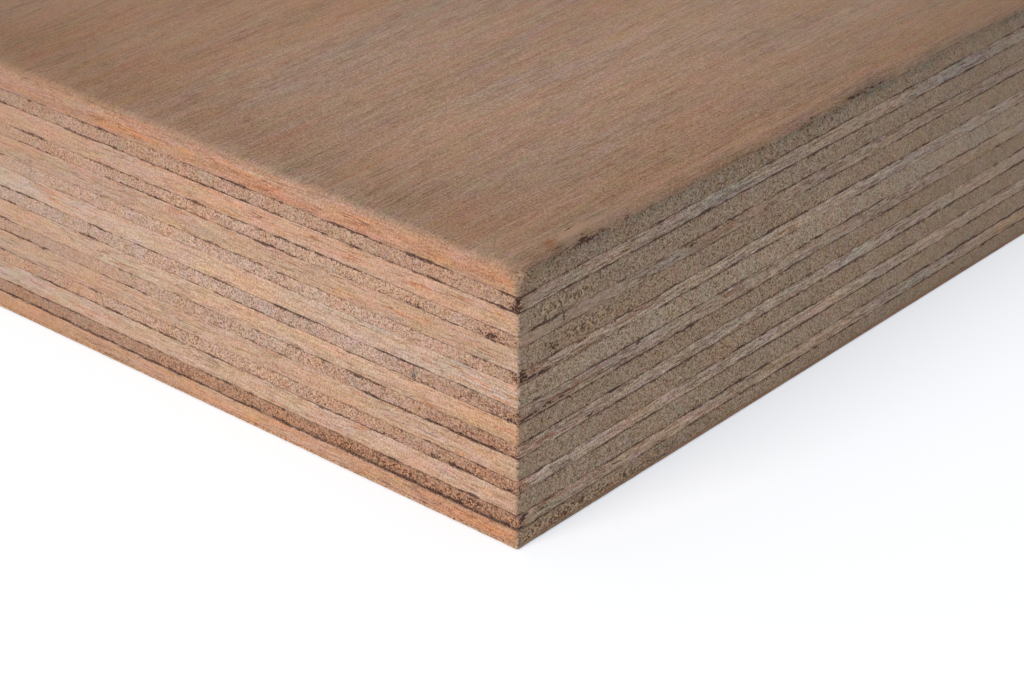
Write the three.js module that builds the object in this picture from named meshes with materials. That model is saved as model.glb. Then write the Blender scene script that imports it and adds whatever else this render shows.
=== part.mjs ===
// A square panel of thick plywood: seventeen veneers glued with their grain crossing at right angles,
// thick cross plies alternating with thinner long plies under a thin face and a thin back veneer.
// The glued panel was sanded as one block, so its eased top arrises cut down through the face veneer and
// the first glue line into the first cross ply.
//
// Millimetres, +Z up. The origin is the middle of the underside. The face grain runs along X.

import * as THREE from "three";

// Driving dimensions
const PANEL_LENGTH = 610; // along the face grain, X
const PANEL_WIDTH = 610; // across the face grain, Y
const FACE_VENEER = 0.55; // sanded face, grain along X
const BACK_VENEER = 0.4; // unsanded back, grain along X
const CROSS_PLIES = [2.58, 3.12, 3.22, 3.1, 2.92, 3.08, 3.05, 2.28]; // grain along Y, top ply first
const LONG_PLIES = [2.04, 1.82, 1.86, 2.1, 2.04, 1.92, 2]; // grain along X, between the cross plies
const GLUE_FILM = 0.12; // cured phenolic film between two veneers
const ARRIS_RADIUS = 2; // sanded round on the four top edges
const CORNER_RADIUS = 0.4; // plan radius of the four upright edges

// Fineness of the rounds
const CORNER_STEPS = 8; // chords in each quarter turn in plan
const ARRIS_STEPS = 8; // chords from the upright edge to the top face

// The veneers from the face down to the back. Each is one physical sheet of wood.
const veneers = [{ name: "face_veneer", kind: "face", thickness: FACE_VENEER }];
CROSS_PLIES.forEach((thickness, i) => {
  veneers.push({ name: plyName("cross_ply"), kind: "cross", thickness });
  if (i < LONG_PLIES.length)
    veneers.push({ name: plyName("long_ply"), kind: "long", thickness: LONG_PLIES[i] });
});
veneers.push({ name: "back_veneer", kind: "back", thickness: BACK_VENEER });

const glueLines = veneers.length - 1;
const panelThickness = veneers.reduce((sum, veneer) => sum + veneer.thickness, 0) + glueLines * GLUE_FILM;

// A ply is numbered by its place in the panel, counted from the face.
function plyName(stem) {
  return `${stem}_${twoDigits(veneers.length + 1)}`;
}

function twoDigits(number) {
  return String(number).padStart(2, "0");
}

// How far the sanded arris has taken the edge in at a height: nothing up to the start of the round, then a
// quarter circle that ends tangent to the top face.
function insetAt(z) {
  const rise = Math.max(0, z - (panelThickness - ARRIS_RADIUS));
  return ARRIS_RADIUS - Math.sqrt(Math.max(0, ARRIS_RADIUS ** 2 - rise ** 2));
}

// The panel's outline in plan at a height, counter-clockwise. The corner's radius grows by the inset, so the
// rounds of two arrises run into each other over the corner.
function outlineAt(z) {
  const inset = insetAt(z);
  const radius = CORNER_RADIUS + inset;
  const centreX = PANEL_LENGTH / 2 - inset - radius;
  const centreY = PANEL_WIDTH / 2 - inset - radius;
  const outline = [];
  for (const [quarter, signX, signY] of [[0, 1, 1], [1, -1, 1], [2, -1, -1], [3, 1, -1]])
    for (let step = 0; step <= CORNER_STEPS; step++) {
      const angle = (quarter + step / CORNER_STEPS) * (Math.PI / 2);
      outline.push(new THREE.Vector3(
        signX * centreX + radius * Math.cos(angle),
        signY * centreY + radius * Math.sin(angle),
        z,
      ));
    }
  return outline;
}

// The heights of a layer's outlines: its two faces, and each chord end of the arris that lies between them.
function sectionHeights(bottom, top) {
  const heights = [bottom, top];
  for (let step = 0; step <= ARRIS_STEPS; step++) {
    const angle = (step / ARRIS_STEPS) * (Math.PI / 2);
    const z = panelThickness - ARRIS_RADIUS + ARRIS_RADIUS * Math.sin(angle);
    if (z > bottom && z < top) heights.push(z);
  }
  return heights.sort((a, b) => a - b);
}

// A closed solid through the outlines of one layer: a flat underside, the lofted rim and a flat top.
function layerGeometry(bottom, top) {
  const sections = sectionHeights(bottom, top).map(outlineAt);
  const around = sections[0].length;
  const last = (sections.length - 1) * around;
  const faces = [];
  sections.slice(1).forEach((_, level) => {
    for (let i = 0; i < around; i++) {
      const next = (i + 1) % around;
      const low = level * around;
      const high = low + around;
      faces.push(low + i, low + next, high + next, low + i, high + next, high + i);
    }
  });
  for (let i = 1; i < around - 1; i++) {
    faces.push(0, i + 1, i); // underside, facing down
    faces.push(last, last + i, last + i + 1); // top, facing up
  }
  const geometry = new THREE.BufferGeometry().setFromPoints(sections.flat());
  geometry.setIndex(faces);
  geometry.computeVertexNormals();
  return geometry;
}

// The finishes, as seen on the panel's edges
const FINISHES = {
  face: { color: 0x8a6148, roughness: 0.62 },
  cross: { color: 0xb9835a, roughness: 0.7 },
  long: { color: 0x8e6a55, roughness: 0.78 },
  back: { color: 0x7d5b48, roughness: 0.75 },
  glue: { color: 0x3a2226, roughness: 0.55 },
};

function layerMesh(name, finish, bottom, top) {
  const material = new THREE.MeshStandardMaterial({ ...FINISHES[finish], metalness: 0, flatShading: true });
  const mesh = new THREE.Mesh(layerGeometry(bottom, top), material);
  mesh.name = name;
  return mesh;
}

// The lay-up, from the top face down. Neighbouring layers share the height of the face between them.
function buildPanel() {
  const panel = new THREE.Group();
  let top = panelThickness;
  veneers.forEach(({ name, kind, thickness }, i) => {
    const isBack = i === glueLines;
    const bottom = isBack ? 0 : top - thickness;
    panel.add(layerMesh(name, kind, bottom, top));
    if (isBack) return;
    panel.add(layerMesh(`glue_line_${twoDigits(i + 1)}`, "glue", bottom - GLUE_FILM, bottom));
    top = bottom - GLUE_FILM;
  });
  return panel;
}

export default buildPanel();
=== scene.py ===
"""Looks of a thick square plywood panel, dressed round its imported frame.

The panel is seventeen veneers glued with their grain crossing at right angles. Each veneer is one mesh whose
rim is a surface over two parameters: the distance round the panel's edge and the height in the veneer. The
cured glue films are thin strips between them. Lengths are millimetres until a mesh is filled, where they
become metres.
"""

import logging
import math
from dataclasses import dataclass, field
from enum import Enum

import bpy
import numpy as np
from mathutils import Matrix, Vector


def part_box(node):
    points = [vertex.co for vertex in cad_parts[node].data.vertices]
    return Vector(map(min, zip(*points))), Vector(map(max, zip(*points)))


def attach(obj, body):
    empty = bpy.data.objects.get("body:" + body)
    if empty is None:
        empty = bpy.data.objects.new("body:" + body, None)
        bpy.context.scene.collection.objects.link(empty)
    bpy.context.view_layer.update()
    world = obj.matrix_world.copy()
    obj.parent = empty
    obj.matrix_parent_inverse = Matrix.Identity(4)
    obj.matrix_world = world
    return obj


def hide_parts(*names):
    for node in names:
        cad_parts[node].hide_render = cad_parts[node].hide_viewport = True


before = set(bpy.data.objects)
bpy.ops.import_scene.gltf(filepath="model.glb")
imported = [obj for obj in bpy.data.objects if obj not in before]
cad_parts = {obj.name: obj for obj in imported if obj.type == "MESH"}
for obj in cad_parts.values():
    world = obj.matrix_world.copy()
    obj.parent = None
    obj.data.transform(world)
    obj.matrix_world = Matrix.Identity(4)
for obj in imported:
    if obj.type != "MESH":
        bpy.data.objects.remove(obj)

log = logging.getLogger("plywood_panel")

METRE = 1000.0  # millimetres in a metre
BODY = "root"
Colour = tuple[float, float, float]
Rows = tuple[tuple[float, ...], ...]  # a table's rows
Waves = tuple[tuple[float, float], ...]  # the wavelength and the strength of each noise of a sum
Socket = bpy.types.NodeSocket
WHITE = (1.0, 1.0, 1.0)
ORIGIN = (0.0, 0.0, 0.0)


class Grain(Enum):
    """The way a veneer's fibres run, as the axis number in plan."""

    ALONG_X = 0
    ALONG_Y = 1


class Side(Enum):
    """The four upright faces, in the order met going round the panel counter-clockwise from above."""

    FRONT = 0
    RIGHT_END = 1
    BACK = 2
    LEFT_END = 3


class Flaw(Enum):
    """What a local mark does to the wood."""

    STAIN = 0  # dark resin or dirt
    WARM = 1  # orange heartwood streak, and painted highlight on the front's worn corner
    COOL = 2  # blue-grey stain
    TORN = 3  # coarse end grain, torn by the saw, coloured with painted shade in its hollows and painted highlights on its fibres
    PIT = 4  # a chip: a hollow that also stains
    PALE = 5  # bare wood under a lost splinter, and painted highlight on the front's corner edge
    GRIME_AND_SHADE = 6  # a soft grey soiling, and painted shade in the long bands along the shaded arrises


@dataclass(frozen=True)
class Mark:
    """One local mark on the panel's skin, in millimetres.

    ``along`` runs from the low-coordinate corner of the side. ``depth`` runs down from the top face, and a
    minus value is the distance in over the top face from where the arris ends. ``width`` and ``rise`` are
    the mark's half sizes along and down.
    """

    side: Side
    flaw: Flaw
    along: float
    depth: float
    width: float
    rise: float
    strength: float


STAIN_MOST = 1.15  # the strength at which a stain leaves no wood showing
ALL_LINES = 0  # a glue run's line number when it lies in every line


@dataclass(frozen=True)
class GlueRun:
    """A stretch of glue line that differs from the rest, in millimetres.

    ``along`` and ``width`` lie as a mark's do. ``extra`` thickens the film, or thins it below nought,
    ``cure`` darkens it and ``lift`` raises it.
    """

    side: Side
    line: int
    along: float
    width: float
    extra: float
    cure: float
    lift: float = 0.0


def eased(share: np.ndarray) -> np.ndarray:
    """Returns the smoothstep weight 3t^2 - 2t^3."""
    return share * share * (3.0 - 2.0 * share)


class LoopNoise:
    """Smooth value noise that closes on itself round the rim."""

    def __init__(self, rng: np.random.Generator, loop: float, wave: float, wave_up: float = 0.0,
                 height: float = 0.0) -> None:
        """Draws the lattice.

        Args:
            rng: the seeded generator that the lattice values come from.
            loop: length of the rim.
            wave: distance between lattice values along the rim.
            wave_up: distance between lattice values upwards, or 0 for noise along the rim alone.
            height: height that the lattice has to cover.
        """
        self.loop, self.wave_up = loop, wave_up
        self.count = max(4, round(loop / wave))
        rows = int(height / wave_up) + 3 if wave_up else 1
        self.lattice = rng.uniform(-1.0, 1.0, (rows, self.count))

    def __call__(self, along: np.ndarray, up: np.ndarray | None = None) -> np.ndarray:
        """Interpolates the lattice with the smoothstep weight on each parameter.

        Args:
            along: distances round the rim.
            up: heights, of the same shape, for two-parameter noise.

        Returns:
            Values between -1 and 1.
        """
        place = along / self.loop * self.count
        column = np.floor(place).astype(int)
        share = eased(place - column)
        left, right = column % self.count, (column + 1) % self.count
        if up is None:
            return self.lattice[0, left] * (1.0 - share) + self.lattice[0, right] * share
        place_up = np.clip(up / self.wave_up, 0.0, self.lattice.shape[0] - 1.001)
        row = np.floor(place_up).astype(int)
        rise = eased(place_up - row)
        low = self.lattice[row, left] * (1.0 - share) + self.lattice[row, right] * share
        high = self.lattice[row + 1, left] * (1.0 - share) + self.lattice[row + 1, right] * share
        return low * (1.0 - rise) + high * rise


@dataclass
class Rim:
    """Stations round the panel's edge, close together beside the near corner and wider elsewhere.

    The outline at a height is a rounded rectangle. Its inset follows the sanded arris, and its corner radius
    grows by the inset and by the wear. A station slides between two corner centres and then steps out along
    its normal.
    """

    half_x: float
    half_y: float
    thickness: float
    corner_radius: float = 0.4
    arris_radius: float = 2.0
    wear: float = 1.15  # how much larger the corner's round is worn at the top
    wear_down: float = 3.4  # how far down the wear goes
    wear_along: float = 12.0  # how far along the edges it goes
    cap_inset: float = 5.0  # where a hidden flat face starts, in from its cut edge
    fine_step: float = 0.3
    coarse_step: float = 2.6
    step_growth: float = 0.12  # how much longer each step is than the last, from fine to coarse
    fine_reach: float = 112.0
    arc_steps: int = 8
    start: np.ndarray = field(init=False)  # the signs of x and y at the corner before each station
    end: np.ndarray = field(init=False)  # the same at the corner after it
    slide: np.ndarray = field(init=False)  # how far it lies between them, from 0 to 1
    normal: np.ndarray = field(init=False)  # which way it faces in plan
    side: np.ndarray = field(init=False)  # its side's number
    beside_corner: np.ndarray = field(init=False)  # 1 at a corner, and falling along the edges

    def __post_init__(self) -> None:
        """Lays the stations of the four sides and the four corner arcs end to end."""
        corners = np.array([[-1, -1], [1, -1], [1, 1], [-1, 1]], float)
        quarter = math.pi / 2.0
        start, end, slide, turn, side = [], [], [], [], []
        for k in range(4):
            share = self._shares(Side(k))
            facing = (k - 1) * quarter
            arc = facing + np.linspace(0.0, quarter, self.arc_steps + 1)[1:-1]
            here, following = corners[k], corners[(k + 1) % 4]
            start += [here] * len(share) + [following] * len(arc)
            end += [following] * (len(share) + len(arc))
            slide += list(share) + [0.0] * len(arc)
            turn += [facing] * len(share) + list(arc)
            side += [k] * (len(share) + len(arc))
        self.start, self.end = np.array(start), np.array(end)
        self.slide, self.side = np.array(slide), np.array(side)
        self.normal = np.stack([np.cos(turn), np.sin(turn)], axis=1)
        blend = np.abs(self.start + (self.end - self.start) * self.slide[:, None])
        away = np.hypot((1.0 - blend[:, 0]) * self.half_x, (1.0 - blend[:, 1]) * self.half_y)
        self.beside_corner = np.exp(-away / self.wear_along)

    def _shares(self, side: Side) -> np.ndarray:
        """Returns the stations of one side as shares of its straight length, from 0 to 1.

        A side that starts or ends at the near corner takes fine steps up to ``fine_reach`` from it, which
        then widen evenly to the coarse step.

        Args:
            side: the side.

        Returns:
            The shares, in the order met going round.
        """
        length = 2.0 * (self.half_x if side in (Side.FRONT, Side.BACK) else self.half_y)
        if side in (Side.RIGHT_END, Side.BACK):
            return np.linspace(0.0, 1.0, round(length / self.coarse_step) + 1)
        fine = np.arange(0.0, self.fine_reach, self.fine_step)
        widening = self.fine_reach + np.cumsum(np.arange(self.fine_step, self.coarse_step, self.step_growth))
        coarse = np.linspace(widening[-1], length, round((length - widening[-1]) / self.coarse_step) + 1)
        share = np.concatenate([fine, widening[:-1], coarse]) / length
        return share if side is Side.FRONT else 1.0 - share[::-1]

    @property
    def count(self) -> int:
        """The number of stations."""
        return len(self.slide)

    @property
    def loop(self) -> float:
        """The rim's length, counted on its square outline."""
        return 4.0 * (self.half_x + self.half_y)

    def inset(self, height: np.ndarray) -> np.ndarray:
        """How far the arris has taken the edge in: R - sqrt(R^2 - rise^2), where rise is above its start."""
        rise = np.clip(height - (self.thickness - self.arris_radius), 0.0, self.arris_radius)
        return self.arris_radius - np.sqrt(self.arris_radius**2 - rise**2)

    def upright(self, height: np.ndarray) -> np.ndarray:
        """The level share of the surface's normal: 1 on the upright edge, down to 0 on the top face."""
        rise = np.clip(height - (self.thickness - self.arris_radius), 0.0, self.arris_radius)
        return np.sqrt(1.0 - (rise / self.arris_radius) ** 2)

    def plan(self, inset: np.ndarray, relief: np.ndarray | float = 0.0,
             height: np.ndarray | float = 0.0) -> tuple[np.ndarray, np.ndarray]:
        """Places the stations in plan.

        x = (blend of the two corner signs) * (half length - inset - radius) + (radius - relief) * normal,
        and the same in y. The radius is the corner radius + inset + wear * exp(-(depth / how far down)^2),
        with less wear the farther the station is from a corner.

        Args:
            inset: how far the outline is taken in, with the stations on its last axis.
            relief: how far the surface is sunk below the outline.
            height: the height, which sets how worn the corners are.

        Returns:
            x and y, of the shape of ``inset``.
        """
        worn = self.wear * np.exp(-(((self.thickness - height) / self.wear_down) ** 2))
        radius = self.corner_radius + inset + worn * self.beside_corner
        blend = self.start + (self.end - self.start) * self.slide[:, None]
        x = blend[:, 0] * (self.half_x - inset - radius) + (radius - relief) * self.normal[:, 0]
        y = blend[:, 1] * (self.half_y - inset - radius) + (radius - relief) * self.normal[:, 1]
        return x, y

    def cap_ring(self, height: float) -> np.ndarray:
        """Returns the ring of points where a hidden flat face starts, at this height."""
        x, y = self.plan(np.full(self.count, self.cap_inset))
        return np.stack([x, y, np.full(self.count, height)], axis=-1)[None]

    def square_walk(self) -> np.ndarray:
        """Measures how far round the square outline each station is.

        Returns:
            The distances from the near corner, counter-clockwise from above.
        """
        x, y = self.plan(np.zeros(self.count))
        around = [x + self.half_x, 2 * self.half_x + y + self.half_y]
        around += [2 * self.half_x + 2 * self.half_y + self.half_x - x, self.loop - (y + self.half_y)]
        return np.choose(self.side, around)

    def from_low_corner(self, inset: np.ndarray, height: np.ndarray | float = 0.0) -> np.ndarray:
        """Returns each station's distance from the low-coordinate corner of its side.

        Args:
            inset: how far the outline is taken in there.
            height: the height.

        Returns:
            The distances, of the shape of ``inset``.
        """
        x, y = self.plan(inset, 0.0, height)
        lengthwise = np.isin(self.side, (Side.FRONT.value, Side.BACK.value))
        return np.where(lengthwise, x + self.half_x, y + self.half_y)


@dataclass(frozen=True)
class HeartBand:
    """A wide redder band along the fibres, where the veneer passes near the log's heart."""

    across: float  # from the near corner to its middle, across the grain
    reach: float  # from its middle to its edges
    tint: Colour
    stray: float = 16.0  # how far its edges stray, from side to side
    soft: float = 7.0  # how far its edges fade each way


@dataclass(frozen=True)
class WoodFinish:
    """The colours and grain of one kind of veneer, as seen in even light."""

    long_grain: Colour
    end_grain: Colour
    streak: Colour
    pore: Colour
    grain: Grain
    fibre_length: float = 14.0  # how much longer than wide a fibre's figure is
    cell: float = 0.2  # millimetres across one cell of the figure
    long_contrast: float = 0.14
    end_contrast: float = 0.46
    pore_share: float = 0.16  # how many cells hold a dark pore
    long_pore: float = 0.4  # how dark a pore is where it is cut along
    end_pore: float = 0.5  # how dark a pore is where it is cut across
    speck: float = 1.15  # fine light and dark specks on the long grain
    end_speck: float = 1.3  # the same on the end grain
    fleck: float = 0.45  # short flecks along the long grain
    blotch: float = 0.65  # slow changes between cream and orange
    end_calm: float = 0.2  # how far the end grain evens those changes out
    waver: float = 3.0  # millimetres that the fibres stray sideways
    streak_share: float = 0.5  # how much of the long grain carries streaks
    crack: float = 0.3  # how dark the fine checks along the fibres are
    band: float = 0.3  # how much the light and dark bands along the fibres differ
    figure: float = 0.25  # the same for the wide bands that the growth rings leave
    bump: float = 0.7  # how rough the surface feels
    roughness: float = 0.7
    torn_hollow_shade: Colour = (0.09, 0.056, 0.036)  # painted shade in the hollows of end grain torn by the saw
    torn_fibre_highlight: Colour = (0.72, 0.52, 0.34)  # painted highlight on its raised fibres
    torn_cell: float = 0.27  # millimetres across one of them
    far_darkening: float = 0.085  # how much darker the wood is far from the near corner than beside it
    rings: float = 0.0  # how much the contours of a flat-sliced log show
    heart: HeartBand | None = None


@dataclass(frozen=True)
class Tone:
    """What sets one veneer apart from the others of its kind, on its long grain and on its end grain."""

    long_light: float = 1.0
    long_warmth: float = 0.0
    end_light: float = 1.0
    end_warmth: float = 0.0
    rose: float = 0.0  # pink in the long grain, or yellow where it is below nought

    def on_long(self, colour: Colour) -> Colour:
        """Returns a long-grain colour in this veneer's tone."""
        return toned(colour, self.long_light, self.long_warmth, self.rose)

    def on_end(self, colour: Colour) -> Colour:
        """Returns an end-grain colour in this veneer's tone."""
        return toned(colour, self.end_light, self.end_warmth, 0.0)


def toned(colour: Colour, light: float, warmth: float, rose: float) -> Colour:
    """Returns a colour in another tone.

    Args:
        colour: the colour.
        light: how much lighter it gets, as a factor.
        warmth: how far it turns to orange.
        rose: how far it turns to pink.

    Returns:
        The new colour.
    """
    red, green, blue = (channel * light for channel in colour)
    green *= (1.0 - 0.1 * warmth) * (1.0 - 0.06 * rose)
    return (red * (1.0 + 0.05 * warmth), green, blue * (1.0 - 0.25 * warmth))


class NodeSheet:
    """Adds shader nodes to one node tree and links them. Each input is a value or an output socket."""

    def __init__(self, tree: bpy.types.NodeTree) -> None:
        """Empties the tree."""
        self.tree = tree
        tree.nodes.clear()

    def node(self, kind: str, inputs: dict | None = None, **settings: object) -> bpy.types.Node:
        """Adds a node.

        Args:
            kind: the node's type name without its ShaderNode prefix.
            inputs: a value or an output socket for each input, by name or number.
            settings: the node's own properties.

        Returns:
            The node.
        """
        made = self.tree.nodes.new("ShaderNode" + kind)
        for key, value in settings.items():
            setattr(made, key, value)
        for key, value in (inputs or {}).items():
            if isinstance(value, Socket):
                self.tree.links.new(value, made.inputs[key])
            else:
                made.inputs[key].default_value = value
        return made

    def maths(self, operation: str, a: object, b: object = 0.0, c: object = 0.0,
              clamp: bool = False) -> Socket:
        """Returns the output of a Math node on up to three numbers."""
        return self.node("Math", {0: a, 1: b, 2: c}, operation=operation, use_clamp=clamp).outputs[0]

    def plus(self, a: object, b: object) -> Socket:
        """Returns a + b."""
        return self.maths("ADD", a, b)

    def minus(self, a: object, b: object) -> Socket:
        """Returns a - b."""
        return self.maths("SUBTRACT", a, b)

    def times(self, a: object, b: object) -> Socket:
        """Returns a * b."""
        return self.maths("MULTIPLY", a, b)

    def times_plus(self, a: object, b: object, c: object, clamp: bool = False) -> Socket:
        """Returns a * b + c."""
        return self.maths("MULTIPLY_ADD", a, b, c, clamp)

    def slide(self, share: object, start: float, end: float) -> Socket:
        """Returns the number that lies this share of the way from the start to the end."""
        return self.times_plus(share, end - start, start)

    def swung(self, onto: object, noise: Socket, size: object) -> Socket:
        """Returns a number with a noise from 0 to 1 added to it: onto + (noise - 0.5) * size."""
        return self.times_plus(self.minus(noise, 0.5), size, onto)

    def vectors(self, operation: str, a: object, b: object, c: object = ORIGIN) -> Socket:
        """Returns the output of a Vector Math node on two or three vectors or colours."""
        return self.node("VectorMath", {0: a, 1: b, 2: c}, operation=operation).outputs[0]

    def distance(self, a: object, b: object = ORIGIN) -> Socket:
        """Returns the distance between two places."""
        return self.node("VectorMath", {0: a, 1: b}, operation="DISTANCE").outputs["Value"]

    def tinted(self, colour: object, tint: object) -> Socket:
        """Returns a colour times a tint, channel by channel."""
        return self.vectors("MULTIPLY", colour, tint)

    def scaled(self, colour: object, factor: object) -> Socket:
        """Returns a colour times a number."""
        return self.node("VectorMath", {0: colour, "Scale": factor}, operation="SCALE").outputs[0]

    def blend(self, share: object, first: object, second: object, clamp: bool = True) -> Socket:
        """Mixes two colours, each a triple or a socket.

        Args:
            share: how much of the second there is, from 0 to 1.
            first: the colour at 0.
            second: the colour at 1.
            clamp: whether a share past 1 is cut to 1.

        Returns:
            The mixed colour.
        """
        both = [(*colour, 1.0) if isinstance(colour, tuple) else colour for colour in (first, second)]
        inputs = {0: share, 6: both[0], 7: both[1]}
        return self.node("Mix", inputs, data_type="RGBA", clamp_factor=clamp).outputs[2]

    def between(self, value: object, low: float, high: float, start: float = 0.0,
                end: float = 1.0) -> Socket:
        """Returns the value mapped smoothly from low..high to start..end, clamped."""
        inputs = {0: value, 1: low, 2: high, 3: start, 4: end}
        return self.node("MapRange", inputs, interpolation_type="SMOOTHSTEP").outputs[0]

    def noise(self, place: object, pitch: float, detail: float = 1.0) -> Socket:
        """Returns a noise from 0 to 1 with features about ``pitch`` millimetres across."""
        return self._noise_outputs(place, pitch, detail)[0]

    def stray(self, place: object, pitch: float, reach: float) -> Socket:
        """Returns the place, moved by 0 to ``reach`` millimetres on each axis by a noise of this pitch."""
        return self.vectors("MULTIPLY_ADD", self._noise_outputs(place, pitch, 0.0)[1], (reach,) * 3, place)

    def _noise_outputs(self, place: object, pitch: float, detail: float) -> bpy.types.bpy_prop_collection:
        """Returns a noise as a number and as a colour."""
        inputs = {"Vector": place, "Scale": 1.0 / pitch, "Detail": detail, "Roughness": 0.6}
        return self.node("TexNoise", inputs).outputs

    def cells(self, place: object, width: float) -> bpy.types.bpy_prop_collection:
        """Returns the outputs of a field of cells about ``width`` millimetres across."""
        return self.node("TexVoronoi", {"Vector": place, "Scale": 1.0 / width}, feature="F1").outputs

    def parts(self, colour: Socket) -> list[Socket]:
        """Returns the three channels of a colour."""
        return list(self.node("SeparateColor", {0: colour}).outputs)

    def attribute(self, name: str) -> Socket:
        """Returns a number that the mesh holds for each point."""
        return self.node("Attribute", attribute_name=name).outputs["Fac"]

    def millimetres(self) -> Socket:
        """Returns the place on the piece, in millimetres."""
        return self.vectors("MULTIPLY", self.node("TexCoord").outputs["Object"], (METRE,) * 3)

    def seen(self) -> Socket:
        """Tells what is seen from what only lights things.

        Returns:
            1 for rays from the camera, a gloss or a clear body, and 0 for the rest.
        """
        rays = self.node("LightPath").outputs
        shown = self.maths("MAXIMUM", rays["Is Glossy Ray"], rays["Is Transmission Ray"])
        return self.maths("MAXIMUM", rays["Is Camera Ray"], shown)

    def skin(self, colour: object, roughness: object, gloss: float, bump: Socket | None = None) -> None:
        """Puts a plain surface on the material's output.

        Args:
            colour: its colour.
            roughness: how rough it looks.
            gloss: how much it mirrors.
            bump: the bent normal, where it has fine relief.
        """
        inputs = {"Base Color": colour, "Roughness": roughness, "Specular IOR Level": gloss}
        if bump is not None:
            inputs["Normal"] = bump
        shader = self.node("BsdfPrincipled", inputs)
        self.node("OutputMaterial", {"Surface": shader.outputs[0]})


def new_material(name: str) -> bpy.types.Material:
    """Makes a material that takes nodes.

    Args:
        name: the material's name.

    Returns:
        The material.
    """
    material = bpy.data.materials.new(name)
    material.use_nodes = True
    return material


@dataclass(frozen=True)
class WoodMaterial:
    """One veneer's wood: its kind, its own tone and what has got into it since."""

    finish: WoodFinish
    tone: Tone
    seed: int
    joint: float  # where the first strip of the ply ends, across the grain from the panel's middle
    corner: tuple[float, float, float]  # the near corner, where the fine figure is strongest
    strip: float = 262.0  # millimetres from joint to joint
    joint_width: float = 0.32
    stain: Colour = (0.065, 0.031, 0.025)
    grey: Colour = (0.24, 0.23, 0.27)
    crack: Colour = (0.16, 0.07, 0.05)
    # the pale of bare wood, also a painted highlight on the front's corner edge
    bare: Colour = (0.56, 0.38, 0.28)
    handled: Colour = (0.82, 0.78, 0.72)  # how the top face darkens beside its edges
    # the grey of soiling, also the painted shade of the long arris bands
    grime_and_shade: Colour = (0.64, 0.7, 0.71)
    gloss: float = 0.1
    bump_depth: float = 0.14  # millimetres between the low and the high wood
    calm_reach: tuple[float, float] = (45.0, 125.0)  # where the fine figure fades, from the near corner
    calm: float = 0.5  # how strong it still is past there
    darkening_reach: tuple[float, float] = (60.0, 115.0)  # from where to where the wood darkens, going away from the near corner
    ring_reach: tuple[float, float] = (60.0, 150.0)  # where the ring loops come up

    def build(self, name: str) -> bpy.types.Material:
        """Builds the material, with colour, roughness and bump from its nodes.

        Args:
            name: the material's name.

        Returns:
            The material.
        """
        material = new_material(name)
        WoodSheet(material.node_tree, self).dress()
        return material


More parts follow.
